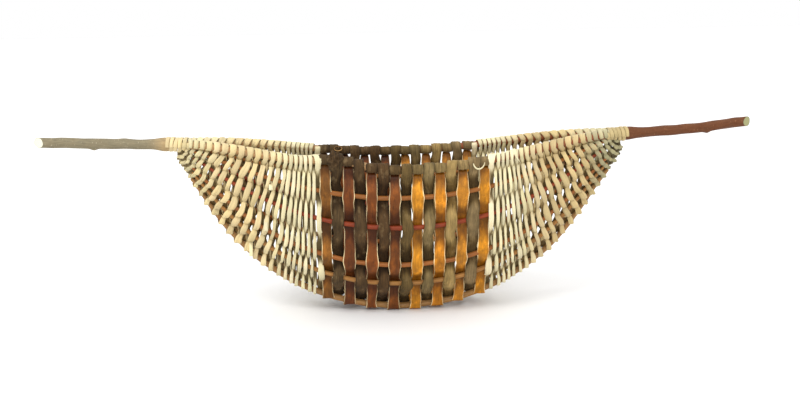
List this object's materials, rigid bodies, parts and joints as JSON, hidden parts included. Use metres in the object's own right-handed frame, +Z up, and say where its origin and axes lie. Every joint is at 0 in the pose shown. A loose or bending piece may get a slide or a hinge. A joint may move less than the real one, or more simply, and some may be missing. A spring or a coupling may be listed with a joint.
{
  "type": "frame basket",
  "caption": "boat-shaped frame basket with a stick handle at each end, rush ends and a bark centre panel",
  "frame": {"origin": "centre of the bounding box in plan, on the surface the basket rests on", "axes": "+X along the basket towards the red-brown handle, +Y across it towards the back rim, +Z up out of its mouth"},
  "size_m": [0.854, 0.193, 0.219],
  "materials": {
    "grey_bark_stick": "matte",
    "red_bark_stick": "satin",
    "rib_rod": "satin",
    "amber_bark": "satin",
    "dark_bark": "matte",
    "pale_rush": "satin"
  },
  "bodies": {
    "root": {"left_handle_fork": "grey_bark_stick", "right_handle_fork": "red_bark_stick", "rib_front_1": "rib_rod", "rib_front_2": "rib_rod", "rib_front_3": "rib_rod", "rib_front_4": "rib_rod", "rib_front_5": "rib_rod", "rib_back_5": "rib_rod", "rib_back_4": "rib_rod", "rib_back_3": "rib_rod", "rib_back_2": "rib_rod", "rib_back_1": "rib_rod", "amber_strip_1": "amber_bark", "amber_strip_2": "amber_bark", "amber_strip_3": "amber_bark", "amber_strip_4": "amber_bark", "amber_strip_5": "amber_bark", "amber_strip_6": "amber_bark", "amber_strip_7": "amber_bark", "amber_strip_8": "amber_bark", "dark_strip_1": "dark_bark", "dark_strip_2": "dark_bark", "dark_strip_3": "dark_bark", "dark_strip_4": "dark_bark", "dark_strip_5": "dark_bark", "dark_strip_6": "dark_bark", "dark_strip_7": "dark_bark", "front_rim_wraps": "dark_bark", "back_rim_wraps": "dark_bark", "bark_knot": "dark_bark", "bark_loop": "dark_bark", "rush_loop": "pale_rush", "rush_left_01": "pale_rush", "rush_left_02": "pale_rush", "rush_left_03": "pale_rush", "rush_left_04": "pale_rush", "rush_left_05": "pale_rush", "rush_left_06": "pale_rush", "rush_left_07": "pale_rush", "rush_left_08": "pale_rush", "rush_left_09": "pale_rush", "rush_left_10": "pale_rush", "rush_right_01": "pale_rush", "rush_right_02": "pale_rush", "rush_right_03": "pale_rush", "rush_right_04": "pale_rush", "rush_right_05": "pale_rush", "rush_right_06": "pale_rush", "rush_right_07": "pale_rush", "rush_right_08": "pale_rush", "rush_right_09": "pale_rush", "rush_right_10": "pale_rush", "left_tip_lashing": "pale_rush", "right_tip_lashing": "pale_rush"}
  },
  "joints": []
}
